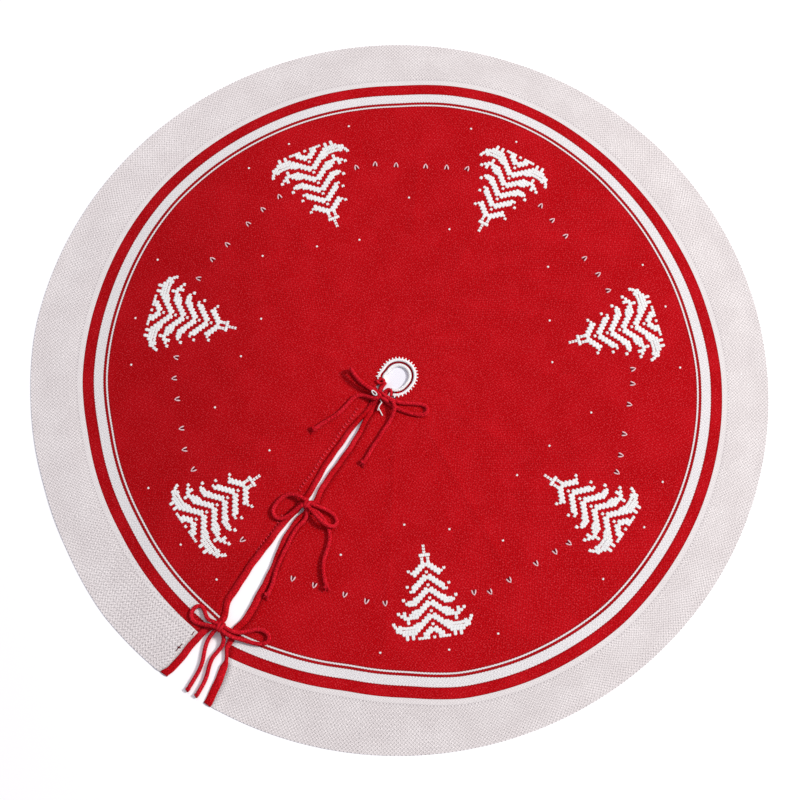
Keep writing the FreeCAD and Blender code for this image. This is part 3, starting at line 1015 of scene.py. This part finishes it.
def add_bows(material, yarn):
    """Each bow's two ties with their end knots, and the turns that hold its middle."""
    for name, bow in BOWS.items():
        body = bow["body"]
        on_cloth = name != "bow_3"  # the third bow's tails end in the slit, on the floor
        knot = bow_knot(f"{name}_wrap", bow["knot"], bow["wraps"], yarn)
        settle(knot, [f"{name}_knot"], body=body)
        for side in ("left", "right"):
            route = bow[side]
            label = f"{name}_{side}"
            tie, line = cord_tube(f"{label}_cord", route, material)
            finish = end_knot(f"{label}_tip_knot", route, CLOTH_TOP if on_cloth else 0, on_cloth, yarn)
            settle(tie, [f"{label}_tie"], body=body)
            settle(finish, [f"{label}_end_knot"], body=body)
            tuple(c * MM for c in route[0])
            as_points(line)


# ---------------------------------------------------------------- knitted-in pattern


def tree_stitches():
    """(column, row, plumpness) of every white stitch of a tree, with row 0 at its base."""
    half = [(1, 29, 0.9), (1, 30.2, 0.85), (0.6, 31.5, 1.0), (1.35, 31.5, 0.95)]
    for top, steps, ends in TIERS:
        for column in range(1, steps + 1):
            half += [(column, row, 1.15) for row in (top - column, top - column + 1.2) if row >= 0]
        lone = 0.8 if len(ends) < 4 else 0.95
        half += [(column, row, lone) for column, row in ends]
    middle = [(0, row, 0.75) for row in (31.7, 32.8, 34.0, 35.2)]
    for top, _, _ in TIERS:
        middle += [(0, top - 0.3, 1.1), (0, top - 3, 0.8)]
    return middle + half + [(-column, row, plump) for column, row, plump in half]


def knit_legs(column, row, frame_of, pitch_x, pitch_y, plump=1.0):
    """The two legs of one stitch, placed by frame_of(across, towards the centre)."""
    legs = []
    for side in (-1, 1):
        foot = frame_of((column + side * 0.14) * pitch_x, (row + 0.05) * pitch_y)
        head = frame_of((column + side * 0.32) * pitch_x, (row + 0.45 + 1.15 * plump) * pitch_y)
        legs.append((*foot, *head, 0.74 * pitch_x * plump, 0.22 * pitch_x * plump))
    return legs


def radial_frame(angle, radius, shift=0.0, lean=0.0):
    """A function from (across, towards the centre) to (x, y), starting at this angle and radius."""
    turn = math.radians(angle)
    out = np.array([math.sin(turn), -math.cos(turn)])
    side = np.array([math.cos(turn), math.sin(turn)])

    def place(across, inward):
        away = radius - inward
        return out * (away - lean * across) + side * (across + shift + lean * (away - TREE_MIDDLE_R))

    return place


def moved(place, across, out):
    """The same frame with its start moved."""
    return lambda a, b: place(a + across, b - out)


def add_trees(material):
    stitches = tree_stitches()
    for number, (angle, tip, base, shift, lean, left, right) in enumerate(TREES, 1):
        pitch = (base - tip) / TREE_ROWS
        straight = radial_frame(angle, base, shift, lean)

        def place(across, inward):
            return straight(across * (right if across > 0 else left), inward)

        legs = []
        for column, row, plump in stitches:
            legs += knit_legs(column, row, place, STITCH_W, pitch, plump)
        petal_piece(f"tree_{number}", legs, material)


def clear_of_slit(place, dot):
    """Whether a mark or dot shows: some would lie under the bindings or a bow."""
    x, y = place(0, 0)
    if dot:
        return abs(x) > 0.045 or y < -0.34
    return abs(math.atan2(x, -y)) > SLIT_CLEAR


def pattern_frames():
    """Frames of every V mark and of every single stitch."""
    marks = []
    dots = []
    for angle, tip, base, shift, lean, *_ in TREES:
        from_base = radial_frame(angle, base, shift, lean)
        from_tip = radial_frame(angle, tip, shift, lean)
        marks += [moved(from_base, across, MARK_OUT) for across in TREE_MARKS]
        dots += [moved(from_base, *spot) for spot in BASE_DOTS]
        dots += [moved(from_tip, *spot) for spot in TIP_DOTS]
    for angle, base in PLAIN_GORES:
        from_base = radial_frame(angle, base)
        marks += [moved(from_base, across, MARK_OUT) for across in PLAIN_MARKS]
        dots.append(moved(from_base, 0, PLAIN_DOT_OUT))
    return [m for m in marks if clear_of_slit(m, False)], [d for d in dots if clear_of_slit(d, True)]


def leg(place, start, end, width, height):
    """One plump leg, in millimetres in the frame of place."""
    foot = place(*(c * MM for c in start))
    head = place(*(c * MM for c in end))
    return (*foot, *head, width * MM, height * MM)


def add_marks(white, pale, wine):
    """Small open V marks between the trees, each round a dark stitch, and single stitches like snow."""
    marks, dots = pattern_frames()
    edges = []
    centres = []
    for place in marks:
        for side in (-1, 1):
            edges.append(leg(place, (side * 1.3, -4.4), (side * 3.5, 4.1), 2.7, 1.2))
            centres.append(leg(place, (side * 0.8, -3.0), (side * 1.0, 4.4), 1.7, 1.1))
        edges.append(leg(place, (-1.6, -4.2), (1.6, -4.2), 2.8, 1.2))
    petal_piece("v_marks", edges, pale)
    petal_piece("v_mark_centres", centres, wine)
    snow = []
    for place in dots:
        snow += knit_legs(0, -0.5, place, *SNOW_STITCH)
    petal_piece("snow_stitches", snow, white, crosses_fold=True)


# ---------------------------------------------------------------- edges


# A binding's section, from the lip over the top to the seam and back underneath: share of its width, and
# height in millimetres.
BINDING_SECTION = [
    (0.02, 0.5), (-0.03, 1.6), (-0.01, 3.0), (0.05, 4.4), (0.13, 5.3), (0.24, 5.9), (0.36, 6.2), (0.48, 6.2),
    (0.60, 6.0), (0.72, 5.5), (0.83, 4.8), (0.92, 3.9), (0.99, 2.9), (1.03, 1.8), (1.00, 0.6), (0.75, 0.4),
    (0.50, 0.4), (0.25, 0.4),
]
BINDING_TOP = {-1: -0.021, 1: -0.029}  # y where the left and right binding end beside the hole


def binding(name, side, material):
    """A folded knit strip along one lip of the slit. side is 1 where the cloth lies towards +X."""
    top = BINDING_TOP[side]
    ys = np.append(np.arange(-0.609, top - 0.004, 0.0028), np.linspace(top - 0.004, top, 4))
    lips = lip_x(side, ys)
    widths = stations(BINDING_WIDTH[side], ys)
    along = np.concatenate([[0], np.cumsum(np.hypot(np.diff(lips), np.diff(ys)))])
    points = []
    uv = []
    for i, (x, y, width, length) in enumerate(zip(lips, ys, widths, along)):
        near_end = min(i, len(ys) - 1 - i)
        end = min(1.0, 0.35 + near_end * 0.3)
        flat = 1 - 0.4 * float(smoothstep(0.52, 0.60, -y))
        waver = 0.0003 * math.sin(length * 190) + 0.0003 * math.sin(length * 67 + 1)
        for share, height in BINDING_SECTION:
            wale = share * BINDING_WALES
            stitch = float(stitch_relief(np.array(wale), np.array(length / BINDING_ROW), 0.8))
            lift = height * MM * (0.55 + 0.45 * end) * flat + (0.45 * MM * stitch * end if height > 2 else 0)
            points.append((x + side * (share * width) + waver, y, max(lift, 0.0003)))
            uv.append((wale, length))
    piece = make_object(name, points, tube_faces(len(ys), len(BINDING_SECTION)), [material], uv)
    fix_normals(piece)
    settle(piece, BINDING_NODES[side], True)


# The collar's sections, from the hole outwards: radius and height in millimetres, and which colour follows.
INNER_BAND = [
    (16.3, 0.4, 0), (15.9, 2.0, 0), (16.3, 3.8, 0), (17.3, 5.0, 0), (18.9, 5.4, 0), (20.3, 5.1, 0),
    (21.2, 4.4, 0), (21.6, 3.2, 0), (21.4, 0.6, 0),
]
OUTER_RING = [
    (21.2, 0.6, 1), (21.2, 3.4, 1), (22.8, 3.9, 1), (24.5, 3.9, 1), (24.9, 4.6, 0), (25.6, 5.8, 0),
    (26.9, 6.4, 0), (28.5, 6.1, 0), (29.7, 5.0, 0), (30.2, 3.4, 0), (30.0, 0.4, 0),
]
# Angle at which each part of the collar starts, to the right of the slit, and ends, to its left.
BAND_SPAN = (5.0, 333.0)
RING_SPAN = (15.0, 309.0)
TEETH_SPAN = (24.0, 306.0)
TEETH = 28
TEETH_R = 0.0290


def collar_spread(angle):
    """How far the collar is pulled outwards where it opens at the slit."""
    right = 7.0 * float(1 - smoothstep(8, 88, angle))
    left = 5.5 * float(smoothstep(275, 312, angle))
    return (right + left) * MM


def collar_strip(profile, span):
    """Points, faces, UV and face colours of one ring of the collar."""
    count = 150
    points = []
    uv = []
    for i, angle in enumerate(np.linspace(*span, count)):
        turn = math.radians(angle)
        out = Vector((math.sin(turn), -math.cos(turn), 0))
        spread = collar_spread(angle)
        fade = min(1.0, (min(i, count - 1 - i) + 0.5) / 2.5)
        for k, (radius, height, _) in enumerate(profile):
            chain = 0.3 * math.sin(turn * 62) if height > 4.3 else 0
            place = out * (radius * MM + spread)
            place.z = max(0.3, (height + chain) * fade) * MM
            points.append(place)
            uv.append((k * 0.8, turn * 0.024))
    colours = [colour for _ in range(count - 1) for _, _, colour in profile]
    return points, tube_faces(count, len(profile)), uv, colours + [0, 0]


def add_collar(white, line, teeth_yarn):
    """The white band with its dark line round the hole, and the teeth of its ring."""
    strips = [collar_strip(INNER_BAND, BAND_SPAN), collar_strip(OUTER_RING, RING_SPAN)]
    points, faces = joined([strip[:2] for strip in strips])
    uv = [place for strip in strips for place in strip[2]]
    colours = [colour for strip in strips for colour in strip[3]]
    piece = make_object("collar_band", points, faces, [white, line], uv, colours)
    fix_normals(piece)
    settle(piece, ["collar"])

    legs = []
    for angle in np.linspace(*TEETH_SPAN, TEETH):
        place = radial_frame(angle, TEETH_R + collar_spread(angle))
        legs.append(leg(place, (0, 0.8), (0, -4.0), 2.3, 2.0))
    petal_piece("collar_teeth", legs, teeth_yarn)


def yarn_piece(name, lines, radius, material, nodes=(), body="skirt"):
    """Short yarns on the cloth, each through points in millimetres (x, y, height over the cloth)."""
    parts = []
    for line in lines:
        route = [(x * MM, y * MM, float(surface(x * MM, y * MM)) + lift * MM) for x, y, lift in line]
        parts.append(tube_mesh(spline_points(route, 8), radius * MM, 8)[:2])
    settle(object_of(name, parts, material), nodes, body=body)


def add_stray_yarn(white):
    """A loop of white yarn round the first bow, its loose end, and a curl beside the collar."""
    def loop(t):
        return -13.6 + 5.2 * math.cos(t), -50.3 + 2.4 * math.sin(t) - 0.8 * math.cos(t), 15.2

    yarn_piece("stray_white_yarn", [
        closed_path(14, loop),
        [(0, -52.6, 7.5), (5, -54.8, 8.0), (3.8, -60.2, 7.6), (4.8, -65, 6.4), (6, -69, 4.2)],
        [(4.8, -65.5, 6.2), (8, -67, 5.2), (12, -68.8, 2.2), (16.5, -71.2, 0.9)],
        [(-24, -18.5, 1.5), (-27, -21, 1.8), (-25, -24.5, 1.6), (-21, -23.5, 1.6), (-20, -20.5, 1.4)],
    ], 1.0, white)


def add_binding_curls(red):
    """The ends of the two bindings, curled up beside the hole."""
    yarn_piece("binding_end_curls", [
        [(-22, -25, 1.5), (-19, -20.5, 2.6), (-14, -20.5, 3.0), (-12.5, -25, 3.0), (-16, -28.5, 3.0),
         (-21.5, -30, 2.6), (-24, -27.5, 2.2)],
        [(-3, -37, 2.5), (-2.2, -31, 3.2), (2, -28, 3.4), (6.5, -29.5, 3.2), (9.5, -36, 2.4)],
    ], 2.3, red)


def add_ladder_seam(light_red):
    """Small loops in a line beside the left binding, left out where the second bow lies over them."""
    first, step, under_bow = -86, 6.3, (-300, -252)
    loops = []
    for k in range(46):
        y = first - step * k
        if under_bow[0] < y < under_bow[1]:
            continue
        x = -23.5 + 0.9 * math.sin(k * 0.7)
        if y < -230:
            x += 1.8 * math.sin((y + 230) / -60)
        loops.append([(x - 1.8, y + 1.6, 0.3), (x - 0.4, y - 0.8, 1.0), (x + 1.8, y + 1.2, 0.4)])
    yarn_piece("ladder_seam", loops, 0.95, light_red)


def add_tacks(wine):
    """Dark stitches that hold the left binding to the border: a cross and a single one."""
    yarn_piece("tack_yarn_stitches", [
        [(-34.0, -555, 0.3), (-34.8, -562, 0.9), (-35.6, -569, 0.3)],
        [(-37.4, -562.4, 0.6), (-34.8, -562, 1.2), (-32.2, -561.6, 0.6)],
        [(-29.6, -529, 0.2), (-29.6, -532, 0.6), (-29.6, -535, 0.2)],
    ], 0.65, wine, ["tack_stitches"], "front_hem")


# ---------------------------------------------------------------- stage


def add_camera():
    """Points the camera at its target."""
    back = Vector((
        math.sin(CAMERA_AZIMUTH) * math.cos(CAMERA_ELEVATION),
        -math.cos(CAMERA_AZIMUTH) * math.cos(CAMERA_ELEVATION),
        math.sin(CAMERA_ELEVATION),
    ))
    data = bpy.data.cameras.new("camera")
    data.lens = CAMERA_LENS
    data.sensor_width = 36
    camera = bpy.data.objects.new("camera", data)
    bpy.context.scene.collection.objects.link(camera)
    camera.location = Vector(CAMERA_TARGET) + back * CAMERA_DISTANCE
    camera.rotation_euler = (math.pi / 2 - CAMERA_ELEVATION, 0, CAMERA_AZIMUTH)
    bpy.context.scene.camera = camera


def add_floor():
    """A pale floor with painted shade, a little greyer in the hole."""
    corners = [(x * FLOOR_HALF, y * FLOOR_HALF, 0) for x, y in ((-1, -1), (1, -1), (1, 1), (-1, 1))]
    nodes = Nodes("pale_floor", 0.8, specular=0.1)
    # Painted shade on the floor round the centre, gone by 0.30 m out.
    outside = nodes.ramp(nodes.length(nodes.place()), 0.04, 0.30)
    nodes.put(nodes.shader.inputs["Base Color"], nodes.blend(outside, FLOOR_PAINTED_SHADE, FLOOR_WHITE))
    make_object("floor", corners, [(0, 1, 2, 3)], [nodes.material])


def add_light():
    """Two lamps and a pale sky."""
    world = bpy.data.worlds.new("studio")
    world.use_nodes = True
    background = world.node_tree.nodes["Background"]
    background.inputs[0].default_value = SKY
    background.inputs[1].default_value = SKY_STRENGTH
    bpy.context.scene.world = world
    for name, place, size, power, colour in LAMPS:
        data = bpy.data.lights.new(name, "AREA")
        data.shape = "DISK"
        data.size = size
        data.energy = power
        data.color = colour
        lamp = bpy.data.objects.new(name, data)
        lamp.location = place
        lamp.rotation_euler = (-Vector(place)).to_track_quat("-Z", "Y").to_euler()
        bpy.context.scene.collection.objects.link(lamp)
    bpy.context.scene.view_settings.view_transform = "Standard"


# ---------------------------------------------------------------- build


def add_cloth():
    """The gores and border sections. Those beside the slit run across the fold, over two CAD nodes each."""
    field = field_material()
    cream = border_material("cream_border_knit")
    cream_rows = border_material("cream_border_rows", dotted=True)
    for number in range(1, GORES + 1):
        front = number in (1, 2, GORES - 1, GORES)
        inner = SLIT_GORE_INNER_R if number in (1, GORES) else GORE_INNER_R
        gore_nodes = [f"gore_{number:02d}"]
        border_nodes = [f"border_{number:02d}"]
        if front:
            gore_nodes.append("front_field_left" if number <= 2 else "front_field_right")
        if number in (2, GORES - 1):
            border_nodes.append(f"border_{number:02d}_front")
        cloth_panel(f"knit_gore_{number:02d}", number, inner, LINKING_R, field, "red_knit", gore_nodes, front)
        cloth_panel(f"knit_border_{number:02d}", number, LINKING_R, SKIRT_R,
                    cream_rows if number == 1 else cream, "cream_knit", border_nodes, front)


def main():
    add_camera()
    cord_colours = (CORD_DEEP, CORD_RED, CORD_LIGHT)
    cord_yarn = yarn_material("red_cord_yarn", cord_colours)
    add_bows(tube_knit_material("red_cord_knit", cord_colours, CORD_ROW), cord_yarn)
    add_cloth()

    white_yarn = yarn_material("white_yarn", (WHITE_DEEP, WHITE, WHITE))
    wine_yarn = yarn_material("wine_yarn", (RED_DEEP, WINE, WINE))
    add_trees(white_yarn)
    add_marks(white_yarn, yarn_material("pale_mark_yarn", (PALE_DEEP, PALE, PALE)), wine_yarn)

    binding_colours = (RED_DEEP, RED, CORD_LIGHT)
    binding_knit = tube_knit_material("red_binding_knit", binding_colours, BINDING_ROW, 1.1, 0.25)
    binding("folded_binding_left", -1, binding_knit)
    binding("folded_binding_right", 1, binding_knit)

    collar_colours = (WHITE, COLLAR_WHITE, COLLAR_WHITE)
    add_collar(
        tube_knit_material("white_collar_knit", collar_colours, COLLAR_ROW, 0.15, 0),
        yarn_material("collar_line_yarn", (WINE, COLLAR_LINE, COLLAR_LINE)),
        yarn_material("white_collar_yarn", collar_colours),
    )
    add_stray_yarn(white_yarn)
    add_binding_curls(cord_yarn)
    add_ladder_seam(yarn_material("light_red_yarn", (CORD_RED, SEAM_RED, CORD_LIGHT)))
    add_tacks(wine_yarn)
    add_floor()
    add_light()


main()
